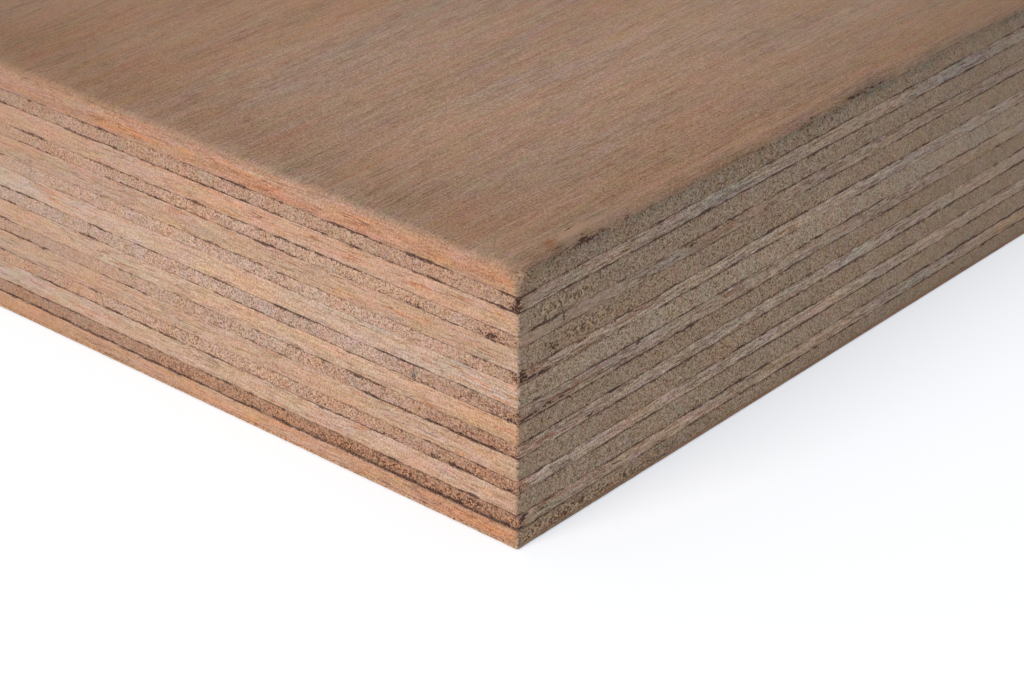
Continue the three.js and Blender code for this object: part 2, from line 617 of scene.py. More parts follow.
class WoodSheet(NodeSheet):
    """The nodes of one veneer's wood.

    The figure is solid and runs through the veneer. One field of cells, drawn out along the fibres, shows as
    streaks on the long grain and as speckle on the end grain. Each noise's pitch is in millimetres.
    """

    ply_shift = (37.0, 19.0, 53.0)  # millimetres from one ply's figure to the next one's

    def __init__(self, tree: bpy.types.NodeTree, wood: WoodMaterial) -> None:
        """Adds the places, cells, noises and attributes that several steps share.

        Args:
            tree: the material's nodes.
            wood: the wood.
        """
        super().__init__(tree)
        self.wood, self.finish = wood, wood.finish
        self.place = self.millimetres()
        self.strayed = self.stray(self.place, pitch=26.0, reach=self.finish.waver)
        self.fibre = self._drawn_out(self.finish.fibre_length)
        self.flow = self._drawn_out(4.0)
        marks = self.node("Attribute", attribute_name="marks").outputs
        self.stain, self.warm, self.cool = self.parts(marks["Color"])
        self.torn = marks["Alpha"]
        self.end_grain = self.attribute("end_grain")
        cells = self.cells(self.fibre, self.finish.cell)
        self.light, self.hue, self.chance = self.parts(cells["Color"])
        self.fine = self.noise(self.fibre, pitch=0.5 * self.finish.cell, detail=2.0)
        self.slow = self.noise(self.flow, pitch=7.0, detail=2.0)
        self.band = self.noise(self.fibre, pitch=2.6, detail=3.0)
        self.figure = self.noise(self._drawn_out(24.0), pitch=9.0, detail=2.0)
        self.tatter = self.noise(self.flow, pitch=0.34, detail=2.0)
        self.speck = self.noise(self.place, pitch=0.24)
        self.away = self.distance(self.place, wood.corner)
        self.calm = self.between(self.away, *wood.calm_reach, 1.0, wood.calm)
        self.pores = self._pores(cells["Distance"])

    def dress(self) -> None:
        """Puts the wood's colour, roughness and bump on the material."""
        finish = self.finish
        colour = self._streaked(self.blend(self.end_grain, self.wood.tone.on_long(finish.long_grain),
                                           self.wood.tone.on_end(finish.end_grain)))
        colour = self._turned(colour, self.slow, finish.blotch)
        colour = self._turned(colour, self.band, 0.7 * finish.blotch)
        colour = self._mottled(colour, 1.5, (1.09, 0.94, 1.09), (0.91, 1.06, 0.91))  # from rose to green
        colour = self._mottled(colour, 1.1, (1.06, 1.0, 0.84), (0.94, 1.0, 1.16))  # from amber to blue
        colour = self._hearted(self._stripped(colour))
        colour = self.tinted(colour, self._shade())
        # Darker with the distance from the near corner
        dimmed_by_distance = self.between(self.away, *self.wood.darkening_reach, 1.0, 1.0 - finish.far_darkening)
        colour = self.scaled(colour, dimmed_by_distance)
        depth = self.times(self.slide(self.end_grain, finish.long_pore, finish.end_pore), self.calm)
        colour = self.blend(self.times(self.pores, depth), colour, finish.pore)
        colour = self.blend(self._checks(), colour, self.wood.crack)
        colour = self._stained(self._weathered(colour))
        height = self.times_plus(self.speck, 0.7, self.times_plus(self.pores, -0.5, self.fine))
        bump = self.node("Bump", {"Height": height, "Strength": finish.bump,
                                  "Distance": self.wood.bump_depth / METRE}).outputs[0]
        rough = self.between(self.fine, 0.2, 0.8, finish.roughness + 0.1, finish.roughness - 0.06)
        self.skin(colour, rough, self.wood.gloss, bump)

    def _drawn_out(self, length: float) -> Socket:
        """Draws the figure out along the fibres, and moves it for this ply.

        Args:
            length: how many times longer than wide it gets.

        Returns:
            The place, pressed together that many times along the fibres.
        """
        stretch = [1.0, 1.0, 1.0]
        stretch[self.finish.grain.value] = 1.0 / length
        shift = tuple(step * self.wood.seed for step in self.ply_shift)
        inputs = {"Vector": self.strayed, "Location": shift, "Scale": tuple(stretch)}
        return self.node("Mapping", inputs).outputs[0]

    def _pores(self, distance: Socket) -> Socket:
        """Returns the vessels: 1 in the middle of the cells that hold one, 0 in the wood between.

        Args:
            distance: the distance from the middle of the cell, in cells.

        Returns:
            The share of vessel.
        """
        edge = 1.0 - self.finish.pore_share
        hole = self.between(distance, 0.2, 0.55, 1.0, 0.0)
        return self.times(hole, self.between(self.chance, edge - 0.08, edge + 0.08))

    def _streaked(self, colour: Socket) -> Socket:
        """Lays orange heartwood streaks and painted highlights over a colour, mostly on the long grain and
        in the warm marks.

        Args:
            colour: the colour so far.

        Returns:
            The colour with its streaks.
        """
        bands = self.between(self.noise(self.fibre, pitch=0.4, detail=2.0), 0.49, 0.62)
        share = self.times(bands, self.between(self.band, 0.45, 0.62, 0.12, self.finish.streak_share))
        share = self.times(share, self.slide(self.end_grain, 1.0, 0.3))
        # The warm marks: heartwood, and painted highlights on the front's worn corner
        own = self.times(self.warm, self.slide(bands, 0.42, 0.97))
        return self.blend(self.maths("ADD", share, own, clamp=True), colour, self.finish.streak)

    def _turned(self, colour: Socket, noise: Socket, swing: float) -> Socket:
        """Turns a colour towards orange where a noise is low and towards grey where it is high.

        Args:
            colour: the colour to turn.
            noise: a noise from 0 to 1.
            swing: how far the noise turns it. The end grain's calm holds it back.

        Returns:
            The turned colour.
        """
        orange = (1.0 + 0.27 * swing, 1.0 - 0.13 * swing, 1.0 - 0.5 * swing)
        grey = (1.0 - 0.22 * swing, 1.0 + 0.1 * swing, 1.0 + 0.36 * swing)
        even = self.times(self.end_grain, self.finish.end_calm)
        return self.tinted(colour, self.blend(even, self.blend(noise, orange, grey), WHITE))

    def _mottled(self, colour: Socket, pitch: float, low: Colour, high: Colour) -> Socket:
        """Returns the colour tinted between two tints by a noise of this pitch along the fibres."""
        return self.tinted(colour, self.blend(self.noise(self.flow, pitch), low, high))

    def _stripped(self, colour: Socket) -> Socket:
        """Tells the strips apart that the ply is laid from, with a dark butt joint between them.

        The strip's number is floor((place across the grain - first joint) / strip width). Each number has
        its own lightness, and the joint shows where the quotient is near a whole number.

        Args:
            colour: the colour so far.

        Returns:
            The colour with its strips.
        """
        wood = self.wood
        across = self.node("SeparateXYZ", {0: self.place}).outputs[1 - self.finish.grain.value]
        count = self.maths("DIVIDE", self.minus(across, wood.joint), wood.strip)
        number = self.plus(self.maths("FLOOR", count), 0.5 + wood.seed)
        own = self.node("TexWhiteNoise", {"W": number}, noise_dimensions="1D").outputs[0]
        gap = self.between(self.maths("PINGPONG", count, 0.5), 0.0, wood.joint_width / wood.strip, 0.6, 0.0)
        colour = self.scaled(colour, self.slide(own, 0.955, 1.045))
        return self.blend(self.times(gap, self.end_grain), colour, wood.crack)

    def _hearted(self, colour: Socket) -> Socket:
        """Tints the heart band, whose edges stray by the figure's noise.

        Args:
            colour: the colour so far.

        Returns:
            The colour with its heart band, where the finish has one.
        """
        heart = self.finish.heart
        if heart is None:
            return colour
        cross = 1 - self.finish.grain.value
        across = self.node("SeparateXYZ", {0: self.place}).outputs[cross]
        middle = self.wood.corner[cross] + heart.across + 0.5 * heart.stray
        off = self.maths("ABSOLUTE", self.minus(self.times_plus(self.figure, heart.stray, across), middle))
        share = self.between(off, heart.reach - heart.soft, heart.reach + heart.soft, 1.0, 0.0)
        return self.tinted(colour, self.blend(share, WHITE, heart.tint))

    def _shade(self) -> Socket:
        """Works out the light and dark of the figure.

        The swing is 1.6 * fine noise - 1.9 * (dark of the cell)^2 - 0.17, times the contrast. Specks, flecks
        and the cell's own hue ride on it, and all that is calmer far from the near corner. The light and
        dark bands, the figure of the growth rings and their loops are added everywhere.

        Returns:
            The tint 1 + swing, with more swing in green and blue than in red, as dark wood is redder.
        """
        finish = self.finish
        dim = self.minus(1.0, self.light)
        swing = self.times_plus(self.fine, 1.6, self.times_plus(self.times(dim, dim), -1.9, -0.17))
        swing = self.times(swing, self.slide(self.end_grain, finish.long_contrast, finish.end_contrast))
        swing = self.swung(swing, self.speck, self.slide(self.end_grain, finish.speck, finish.end_speck))
        swing = self.swung(swing, self.tatter, self.slide(self.end_grain, finish.fleck, 0.0))
        swing = self.times(self.swung(swing, self.hue, 0.05), self.calm)
        swing = self.swung(swing, self.band, finish.band)
        swing = self.plus(self.swung(swing, self.figure, finish.figure), self._rings())
        spread = self.node("CombineXYZ", {0: swing, 1: swing, 2: swing}).outputs[0]
        return self.vectors("MULTIPLY_ADD", spread, (0.9, 1.08, 1.25), WHITE)

    def _rings(self) -> Socket:
        """Draws the loops that a knife leaves where it meets the growth rings of a log.

        They are the contours sin(56 * noise) of a slow noise drawn out along the fibres.

        Returns:
            The loops, as a swing of light and dark that is faint beside the near corner.
        """
        rings = self.finish.rings
        hill = self.noise(self._drawn_out(8.0), pitch=64.0)
        shown = self.between(self.away, *self.wood.ring_reach, 0.2 * rings, rings)
        return self.times(self.maths("SINE", self.times(hill, 56.0)), shown)

    def _checks(self) -> Socket:
        """Draws fine checks: thin lines where a noise drawn out along the fibres crosses its middle.

        Returns:
            How dark they are: more in some places than in others, most in the warm marks, and little on the
            the end grain.
        """
        offset = self.maths("ABSOLUTE", self.minus(self.noise(self.fibre, pitch=0.8, detail=2.0), 0.5))
        line = self.between(offset, 0.005, 0.02, 1.0, 0.0)
        share = self.maths("MAXIMUM", self.between(self.slow, 0.4, 0.6, 0.0, self.finish.crack), self.warm)
        return self.times(self.times(line, share), self.slide(self.end_grain, 1.0, 0.15))

    def _weathered(self, colour: Socket) -> Socket:
        """Lays torn fibres, grey stains, bare splinters, handled edges and grime, with painted shade and
        highlights, on a colour.

        Args:
            colour: the colour so far.

        Returns:
            The weathered colour.
        """
        # Torn end grain: cell by cell, painted shade in its hollows and painted highlights on its raised
        # fibres
        torn = self.parts(self.cells(self.place, self.finish.torn_cell)["Color"])
        torn_shade_and_highlight = self.blend(self.between(torn[0], 0.29, 0.74), self.finish.torn_hollow_shade, self.finish.torn_fibre_highlight)
        torn_shade_and_highlight = self.tinted(torn_shade_and_highlight, self.blend(torn[1], (1.08, 0.92, 0.8), (0.94, 1.06, 1.16)))
        colour = self.blend(self.times(self.torn, 0.9), colour, torn_shade_and_highlight)
        colour = self.blend(self.times(self.cool, 0.7), colour, self.wood.grey)
        # Bare wood, and painted highlights on the front's corner edge
        colour = self.blend(self.times(self.attribute("pale"), 0.8), colour, self.wood.bare)
        colour = self.tinted(colour, self.blend(self.attribute("handled"), WHITE, self.wood.handled))
        # Grime, and painted shade in its long bands along the shaded arrises
        return self.tinted(colour, self.blend(self.attribute("grime_and_shade"), WHITE, self.wood.grime_and_shade, clamp=False))

    def _stained(self, colour: Socket) -> Socket:
        """Darkens a colour with resin.

        Beside a glue line the resin fills the cells at random. A stain fills ragged patches: the stronger
        it is, the more of them.

        Args:
            colour: the colour so far.

        Returns:
            The colour with its resin.
        """
        seeped = self.times_plus(self.chance, -0.72, self.attribute("bleed"))
        seeped = self.between(seeped, 0.0, 0.28, 0.0, 0.8)
        spotted = self.plus(self.stain, self.between(self.tatter, 0.3, 0.7, -STAIN_MOST, 0.0))
        spotted = self.between(spotted, 0.02, 0.2, 0.0, 0.93)
        return self.blend(self.maths("MAXIMUM", seeped, spotted), colour, self.wood.stain)


@dataclass(frozen=True)
class GlueMaterial:
    """Cured phenolic glue: a dark purple-brown film, or little more than tinted wood where it starved."""

    dark: Colour = (0.07, 0.034, 0.028)
    pale: Colour = (0.4, 0.25, 0.17)
    roughness: float = 0.57
    gloss: float = 0.15

    def build(self, name: str) -> bpy.types.Material:
        """Builds the material: the cure attribute blends its two browns, broken up by a fine noise.

        Args:
            name: the material's name.

        Returns:
            The material.
        """
        material = new_material(name)
        sheet = NodeSheet(material.node_tree)
        patch = sheet.noise(sheet.millimetres(), pitch=0.32, detail=2.0)
        share = sheet.times_plus(patch, 3.6, sheet.minus(sheet.attribute("cure"), 1.85), clamp=True)
        sheet.skin(sheet.blend(share, self.pale, self.dark), self.roughness, self.gloss)
        return material


@dataclass(frozen=True)
class Unrolled:
    """How a piece's skin is laid out flat on its bake map, which is one unit wide and high.

    The cut edge is unrolled and sawn into equal strips, laid one above the other. The underside and the top
    are squares above them.
    """

    under: float = 0.1  # the side of the underside's square
    top: float = 0.1  # the same of the top's
    strips: int = 24
    under_rows: int = 1  # rows of faces that belong to the underside
    top_rows: int = 1
    gap: float = 0.003
    wide: float = 0.96  # how much of the map's width a strip takes up

    def lay(self, rings: np.ndarray) -> np.ndarray:
        """Works out each face corner's place on the map.

        On the edge, u = (share round the rim * strips) - strip, and v = (strip + share of the climb from
        ring to ring) * the strip's height. A flat side is its plan, scaled to its square.

        Args:
            rings: the piece's points, as rings by stations by three.

        Returns:
            u and v for each corner, in the order that closed_mesh makes them.
        """
        levels, around, _ = rings.shape
        below_top = levels - 1 - self.top_rows
        across = np.linalg.norm(np.roll(rings, -1, axis=1) - rings, axis=-1)[self.under_rows]
        walk = np.concatenate([[0.0], np.cumsum(across)]) / across.sum() * self.strips
        strip = np.minimum(np.floor(walk[:-1]), self.strips - 1)
        climb = np.cumsum(np.linalg.norm(np.diff(rings, axis=0, prepend=rings[:1]), axis=-1).mean(axis=1))
        first, last = climb[self.under_rows], climb[below_top]
        climb = np.clip((climb - first) / (last - first), 0.0, 1.0)
        tall = (1.0 - max(self.under, self.top) - self.gap) / self.strips
        left, right = (self.gap + self.wide * (part - strip) for part in (walk[:-1], walk[1:]))
        rows = strip * tall + climb[:, None] * (tall - self.gap)
        u = np.broadcast_to(np.stack([left, right, right, left], axis=-1), (levels - 1, around, 4))
        v = np.stack([rows[:-1], rows[:-1], rows[1:], rows[1:]], axis=-1)
        edge = np.stack([u, v], axis=-1)
        plan = rings[..., :2] - rings[..., :2].min(axis=(0, 1))
        plan = plan / plan.max()
        under = plan * (self.under - self.gap) + (1.0 - self.under, 1.0 - self.under)
        top = plan * (self.top - self.gap) + (0.0, 1.0 - self.top)
        for flat, rows_of in ((under, slice(0, self.under_rows)), (top, slice(below_top, None))):
            nearby = np.roll(flat, -1, axis=1)
            edge[rows_of] = np.stack([flat[:-1], nearby[:-1], nearby[1:], flat[1:]], axis=2)[rows_of]
        lower = self._fan(under[0], around)[:, [0, 2, 1]]
        return np.concatenate([part.reshape(-1, 2) for part in (edge, lower, self._fan(top[-1], around))])

    @staticmethod
    def _fan(ring: np.ndarray, around: int) -> np.ndarray:
        """Returns the corners of the triangles from a ring's middle to each two neighbours on it."""
        middle = np.broadcast_to(0.5 * (ring.min(axis=0) + ring.max(axis=0)), (around, 2))
        return np.stack([middle, ring, np.roll(ring, -1, axis=0)], axis=1)


SHARP_ANGLE = math.radians(40.0)  # faces that turn more than this at an edge make it a sharp one


def closed_mesh(name: str, rings: np.ndarray, values: dict[str, np.ndarray],
                unrolled: Unrolled) -> bpy.types.Object:
    """Makes one closed piece from rings of stations, with a fan over the first and last ring.

    Quad (i, j) joins ring i, stations j and j + 1, to ring i + 1. Each end ring is closed to its own middle.

    Args:
        name: the piece's name.
        rings: points in millimetres, as rings by stations by three, from the underside to the top.
        values: a number or four colour channels for each ring point, by attribute name.
        unrolled: how the piece lies on its bake map.

    Returns:
        The piece, at the origin, unturned and unscaled.
    """
    levels, around, _ = rings.shape
    ring_points = levels * around
    middles = np.array([[0.0, 0.0, rings[0, :, 2].mean()], [0.0, 0.0, rings[-1, :, 2].mean()]])
    points = np.concatenate([rings.reshape(-1, 3), middles]) / METRE
    index = np.arange(ring_points).reshape(levels, around)
    following = np.roll(index, -1, axis=1)
    quads = np.stack([index[:-1], following[:-1], following[1:], index[1:]], axis=-1).reshape(-1, 4)
    lower = np.stack([np.full(around, ring_points), following[0], index[0]], axis=-1)
    upper = np.stack([np.full(around, ring_points + 1), index[-1], following[-1]], axis=-1)
    corners = np.concatenate([quads.ravel(), lower.ravel(), upper.ravel()])
    sizes = np.concatenate([np.full(len(quads), 4), np.full(2 * around, 3)])
    mesh = bpy.data.meshes.new(name)
    mesh.vertices.add(len(points))
    mesh.vertices.foreach_set("co", points.astype(np.float32).ravel())
    mesh.loops.add(len(corners))
    mesh.loops.foreach_set("vertex_index", corners.astype(np.int32))
    mesh.polygons.add(len(sizes))
    mesh.polygons.foreach_set("loop_start", np.concatenate([[0], np.cumsum(sizes)[:-1]]).astype(np.int32))
    mesh.update(calc_edges=True)
    for key, on_rings in values.items():
        kind, part = ("FLOAT_COLOR", "color") if on_rings.ndim == 3 else ("FLOAT", "value")
        flat = on_rings.reshape(ring_points, -1)
        padded = np.concatenate([flat, np.zeros((2, flat.shape[1]))]).astype(np.float32)
        mesh.attributes.new(key, kind, "POINT").data.foreach_set(part, padded.ravel())
    layout = mesh.uv_layers.new(name="OFBake", do_init=False)
    layout.uv.foreach_set("vector", unrolled.lay(rings).astype(np.float32).ravel())
    mesh.polygons.foreach_set("use_smooth", np.ones(len(sizes), bool))
    mesh.set_sharp_from_angle(angle=SHARP_ANGLE)
    piece = bpy.data.objects.new(name, mesh)
    bpy.context.collection.objects.link(piece)
    return piece


def hand_over(piece: bpy.types.Object, material: bpy.types.Material, node: str, slot: str) -> None:
    """Dresses a piece and rides it on the panel's body, in place of its node.

    Args:
        piece: the piece.
        material: its material.
        node: the node of the frame that it replaces.
        slot: its material slot in the record; not used.
    """
    piece.data.materials.append(material)
    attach(piece, BODY)
    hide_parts(node)
    log.info("%s: %d faces", piece.name, len(piece.data.polygons))


@dataclass
class GlueLine:
    """One cured film: its middle height, its half thickness and its cure at each station of the rim."""

    node: str
    number: int
    rim: Rim
    height: float  # of its middle in the frame
    film: float  # its thickness in the frame
    cured: float  # how cured it is on the whole, from 0 to 1
    runs: tuple[GlueRun, ...]
    rng: np.random.Generator
    sink: float = 0.05  # how far the film is set in from the wood beside it
    thinnest: float = 0.01  # half the thickness of a starved film
    wander: Waves = ((46.0, 0.08), (13.0, 0.045), (3.1, 0.034), (1.3, 0.028), (0.6, 0.024))
    dashes: Waves = ((7.0, 0.6), (2.1, 1.0), (0.7, 0.8))
    patches: Waves = ((11.0, 1.0), (3.4, 0.9), (0.9, 0.5))
    middle: np.ndarray = field(init=False)
    half: np.ndarray = field(init=False)
    cure: np.ndarray = field(init=False)

    def __post_init__(self) -> None:
        """Lets the film wander, swell and starve.

        The middle height wanders by a sum of noises. A second sum, cut off below nought, gives dashes where
        the film is thicker and darker, and a third gives patches of more and less cure. Each run of glue
        adds its own share under the bell curve exp(-(distance / width)^4).
        """
        self.middle = self.height + self._sum_of(self.wander)
        dash = self._sum_of(self.dashes)
        self.half = 0.5 * self.film * (0.7 + 0.62 * np.clip(dash, 0.0, 1.4) ** 1.3)
        self.cure = self.cured + 0.08 + 0.3 * self._sum_of(self.patches) + 0.26 * dash
        place = self.rim.from_low_corner(np.zeros(self.rim.count))
        for run in self.runs:
            if run.line in (ALL_LINES, self.number):
                bell = np.exp(-(((place - run.along) / run.width) ** 4)) * (self.rim.side == run.side.value)
                self.half += 0.5 * run.extra * bell
                self.cure += run.cure * bell
                self.middle += run.lift * bell
        self.cure = np.clip(self.cure, 0.0, 1.0)
        self.half = np.maximum(self.half, self.thinnest)

    def _sum_of(self, waves: Waves) -> np.ndarray:
        """Returns the sum of new noises round the rim, each of its own wavelength and strength."""
        walk = self.rim.square_walk()
        return sum(strength * LoopNoise(self.rng, self.rim.loop, wave)(walk) for wave, strength in waves)

    @property
    def top(self) -> np.ndarray:
        """The film's upper face at each station."""
        return self.middle + self.half

    @property
    def bottom(self) -> np.ndarray:
        """The film's lower face at each station."""
        return self.middle - self.half

    def build(self, material: bpy.types.Material) -> None:
        """Builds the film's closed strip, dresses it and hands it to the frame.

        Args:
            material: the glue's material.
        """
        heights = np.stack([self.bottom, self.top])
        edge = np.stack([*self.rim.plan(self.rim.inset(heights), self.sink, heights), heights], axis=-1)
        low, high = (self.rim.cap_ring(self.height + side * 0.5 * self.film) for side in (-1, 1))
        rings = np.concatenate([low, edge, high])
        piece = closed_mesh(self.node + "_look", rings, {"cure": np.tile(self.cure, (4, 1))}, Unrolled())
        hand_over(piece, material, self.node, "glue_line")


@dataclass
class Veneer:
    """One ply: the surfaces that bound it, its grain and its marks."""

    node: str
    slot: str
    rim: Rim
    low: np.ndarray  # the height of its underside at each station
    high: np.ndarray
    low_cure: np.ndarray  # how cured the film under it is at each station
    high_cure: np.ndarray
    flat_low: float  # the height of its underside in the frame
    flat_high: float
    grain: Grain
    marks: tuple[Mark, ...]
    rng: np.random.Generator
    row_pitch: float = 0.27  # from row to row up the cut edge, on the whole
    inward: tuple[float, ...] = (0.25, 0.5, 0.75, 1.0, 1.25, 1.5, 1.75, 2.0, 2.25, 3.0, 4.0, 5.5, 8.0, 12.0,
                                 17.0, 24.0, 33.0)  # where the top face's rings lie, in from the arris
    eased: float = 0.06  # how far the wood is worn in beside a glue line
    eased_reach: float = 0.14  # how far from the line that goes
    bleed: float = 0.15  # how far the resin spreads into the wood beside it
    deepest: float = 0.38  # the most that the skin is sunk
    most_grime_and_shade: float = 1.7
    handled: float = 13.0  # how far in over the top face hands have darkened it
    rubbed: float = 1.8  # how far in they have rubbed it pale again
    worked: float = 190.0  # how far from the near corner that shows at its strongest
    spare: float = 1.0  # further height that its noises cover, as the films beside it wander
    inset: np.ndarray = field(init=False)  # how far each point is taken in from the upright edge
    heights: np.ndarray = field(init=False)
    place: np.ndarray = field(init=False)  # from the low corner of its side
    depth: np.ndarray = field(init=False)  # below the top face, and minus the distance in over it
    end_share: np.ndarray = field(init=False)  # how squarely the skin cuts the fibres, from 0 to 1
    coarse: np.ndarray = field(init=False)  # a noise of about a millimetre
    wide: np.ndarray = field(init=False)  # a noise of several millimetres

    def __post_init__(self) -> None:
        """Lays the rows up the cut edge, and the rings over the top face, and draws the noises on them."""
        share = np.repeat(self._levels()[:, None], self.rim.count, axis=1)
        self.heights = self.low + (self.high - self.low) * share
        self.inset = self.rim.inset(self.heights)
        if self.is_face:
            inner = np.repeat(np.array(self.inward)[:, None] + self.rim.arris_radius, self.rim.count, axis=1)
            self.inset = np.concatenate([self.inset, inner])
            self.heights = np.concatenate([self.heights, np.full_like(inner, self.rim.thickness)])
        self.place = self.rim.from_low_corner(self.inset, self.heights)
        self.depth = self.rim.thickness - self.heights - self._inward()
        self.end_share = self._facing() * self.rim.upright(self.heights)
        self.coarse, self.wide = self._noise(0.9, 0.45), self._noise(7.0, 1.6)

    @property
    def is_face(self) -> bool:
        """Whether this is the face veneer."""
        return self.flat_high >= self.rim.thickness

    def _levels(self) -> np.ndarray:
        """Spaces the rows: 0.55 * even + 0.45 * (1 - cos(pi * even)) / 2.

        Returns:
            The rows as shares of the thickness, closer together beside the glue lines.
        """
        rows = max(4, round((self.flat_high - self.flat_low) / self.row_pitch))
        even = np.linspace(0.0, 1.0, rows + 1)
        return 0.55 * even + 0.45 * 0.5 * (1.0 - np.cos(math.pi * even))

    def _inward(self) -> np.ndarray:
        """Returns the distance in over the top face from where the arris ends."""
        return np.maximum(self.inset - self.rim.arris_radius, 0.0)

    def _facing(self) -> np.ndarray:
        """Returns how squarely each station's edge cuts the fibres, from 0 to 1."""
        return np.abs(self.rim.normal[:, self.grain.value])

    def _noise(self, wave: float, wave_up: float) -> np.ndarray:
        """Draws a new noise over the skin.

        Args:
            wave: its wavelength round the rim.
            wave_up: its wavelength upwards.

        Returns:
            Its value at each point of the skin.
        """
        walk = np.broadcast_to(self.rim.square_walk(), self.heights.shape)
        tall = self.flat_high - self.flat_low + self.spare
        noise = LoopNoise(self.rng, self.rim.loop, wave, wave_up, tall)
        return noise(walk, self.heights - self.flat_low + 0.4 * self.spare)

    def _bells(self, flaw: Flaw) -> np.ndarray:
        """Adds up the bell curves of the marks of one kind.

        Each is strength * exp(-(distance along / width)^2 - (distance down / rise)^2) on its own side.

        Args:
            flaw: the kind of mark.

        Returns:
            The sum at each point of the skin.
        """
        total = np.zeros_like(self.depth)
        for mark in self.marks:
            if mark.flaw is flaw:
                across = ((self.place - mark.along) / mark.width) ** 2
                down = ((self.depth - mark.depth) / mark.rise) ** 2
                total += mark.strength * np.exp(-across - down) * (self.rim.side == mark.side.value)
        return total

    def _relief(self, torn: np.ndarray, pits: np.ndarray) -> np.ndarray:
        """Works out how far the skin is sunk.

        Beside a film it is eased * (0.4 + 0.6 * cure) * exp(-distance / reach). The saw's roughness grows on
        end grain and torn wood, and pits go deeper still.

        Args:
            torn: how torn the wood is.
            pits: how chipped it is.

        Returns:
            The depths, in millimetres.
        """
        from_low = self.heights - self.low if self.flat_low > 0.0 else np.inf
        from_high = np.inf if self.is_face else self.high - self.heights
        under = self.eased * (0.4 + 0.6 * self.low_cure) * np.exp(-from_low / self.eased_reach)
        over = self.eased * (0.4 + 0.6 * self.high_cure) * np.exp(-from_high / self.eased_reach)
        rough = 0.004 if self.is_face else 0.012 + 0.03 * self.end_share + 0.12 * torn
        sawn = rough * (1.0 + self.coarse) * 0.7 * self.rim.upright(self.heights)
        return np.clip(under + over + sawn + pits * (0.35 + 0.15 * self.coarse), 0.0, self.deepest)

    def _bleed(self) -> np.ndarray:
        """Works out how much resin has bled in: cure * exp(-distance / reach) from the film on each side.

        Returns:
            The share of resin, in patches, and most on the end grain.
        """
        under = self.low_cure * np.exp(-(self.heights - self.low) / self.bleed)
        over = self.high_cure * np.exp(-(self.high - self.heights) / self.bleed) if not self.is_face else 0.0
        patchy = np.clip(0.85 + 0.6 * self.wide + 0.7 * self.coarse, 0.0, 1.8)
        return (under + over) * patchy * (0.55 + 0.45 * self.end_share)

    def _handled(self) -> np.ndarray:
        """Works out how far hands have darkened the top face.

        It is exp(-(d / handled)^1.6) * (1 - rub * exp(-(d / rubbed)^2)), where d is the distance in from the
        arris: strong beside the edge, but rubbed off its crest, and most across the grain. A slow noise
        along the edge changes it.

        Returns:
            How dark it is, strongest beside the near corner and nought on other veneers.
        """
        inward = self._inward()
        walk = self.rim.square_walk()
        beside = np.exp(-((np.minimum(walk, self.rim.loop - walk) / self.worked) ** 4))
        noise = LoopNoise(self.rng, self.rim.loop, 90.0)(walk)
        used = beside * (0.8 + 0.35 * noise) + (1.0 - beside) * (0.34 + 0.5 * noise)
        rubbed = 1.0 - (0.2 + 0.5 * self._facing()) * np.exp(-((inward / self.rubbed) ** 2))
        shown = (1.0 - self.rim.upright(self.heights)) * self.is_face
        return np.exp(-((inward / self.handled) ** 1.6)) * rubbed * shown * used

    def build(self, material: bpy.types.Material) -> None:
        """Builds the veneer's closed mesh, dresses it and hands it to the frame.

        Args:
            material: the wood's material.
        """
        pits = self._bells(Flaw.PIT)
        torn = np.clip(self._bells(Flaw.TORN) * (0.8 + 0.5 * self.coarse), 0.0, 1.0)
        stain = self._bells(Flaw.STAIN) * (0.8 + 0.45 * self.coarse) + 0.6 * pits
        marks = np.stack([stain, self._bells(Flaw.WARM), self._bells(Flaw.COOL), torn], axis=-1)
        # Grime, whose long bands along the arrises are painted shade
        grime_and_shade = self._bells(Flaw.GRIME_AND_SHADE) * (0.9 + 0.3 * self.wide + 0.25 * self.coarse)
        values = {
            "end_grain": self.end_share,
            "bleed": self._bleed(),
            "handled": self._handled(),
            "pale": np.clip(self._bells(Flaw.PALE), 0.0, 1.0),
            "grime_and_shade": np.clip(grime_and_shade, 0.0, self.most_grime_and_shade),
            "marks": np.clip(marks, 0.0, (STAIN_MOST, 1.0, 1.0, 1.0)),
        }
        plan = self.rim.plan(self.inset, self._relief(torn, pits), self.heights)
        caps = [self.rim.cap_ring(height) for height in (self.flat_low, self.flat_high)]
        rings = [caps[0], np.stack([*plan, self.heights], axis=-1)] + ([] if self.is_face else caps[1:])
        plain = ((1, len(rings) - 2), (0, 0), (0, 0))  # the rings of the hidden flat faces hold noughts
        values = {key: np.pad(on_rings, plain[:on_rings.ndim]) for key, on_rings in values.items()}
        piece = closed_mesh(self.node + "_look", np.concatenate(rings), values, self._unrolled())
        hand_over(piece, material, self.node, self.slot)

    def _unrolled(self) -> Unrolled:
        """Chooses the bake layout.

        Returns:
            A large square for a flat side that shows, and small ones for hidden sides.
        """
        if self.is_face:
            return Unrolled(under=0.16, top=0.82, strips=14, top_rows=len(self.inward))
        if self.flat_low <= 0.0:
            return Unrolled(under=0.82, top=0.16, strips=14)
        return Unrolled()


CROSS = WoodFinish(long_grain=(0.581, 0.399, 0.315), end_grain=(0.447, 0.341, 0.259),
                   streak=(0.6, 0.285, 0.155), pore=(0.2, 0.1, 0.07), grain=Grain.ALONG_Y, speck=1.45,
                   end_speck=1.75, blotch=0.56, end_calm=0.5, waver=1.6, streak_share=0.68, crack=0.5,
                   band=0.24, torn_hollow_shade=(0.07, 0.042, 0.026), torn_fibre_highlight=(0.78, 0.57, 0.385))
LONG = WoodFinish(long_grain=(0.533, 0.406, 0.32), end_grain=(0.575, 0.382, 0.292),
                  streak=(0.38, 0.19, 0.125), pore=(0.16, 0.085, 0.065), grain=Grain.ALONG_X,
                  long_contrast=0.28, long_pore=0.55, speck=2.2, fleck=1.5, blotch=0.56, end_calm=0.3,
                  waver=2.0, crack=0.8, torn_hollow_shade=(0.055, 0.023, 0.016), torn_fibre_highlight=(0.76, 0.415, 0.25),
                  torn_cell=0.22)
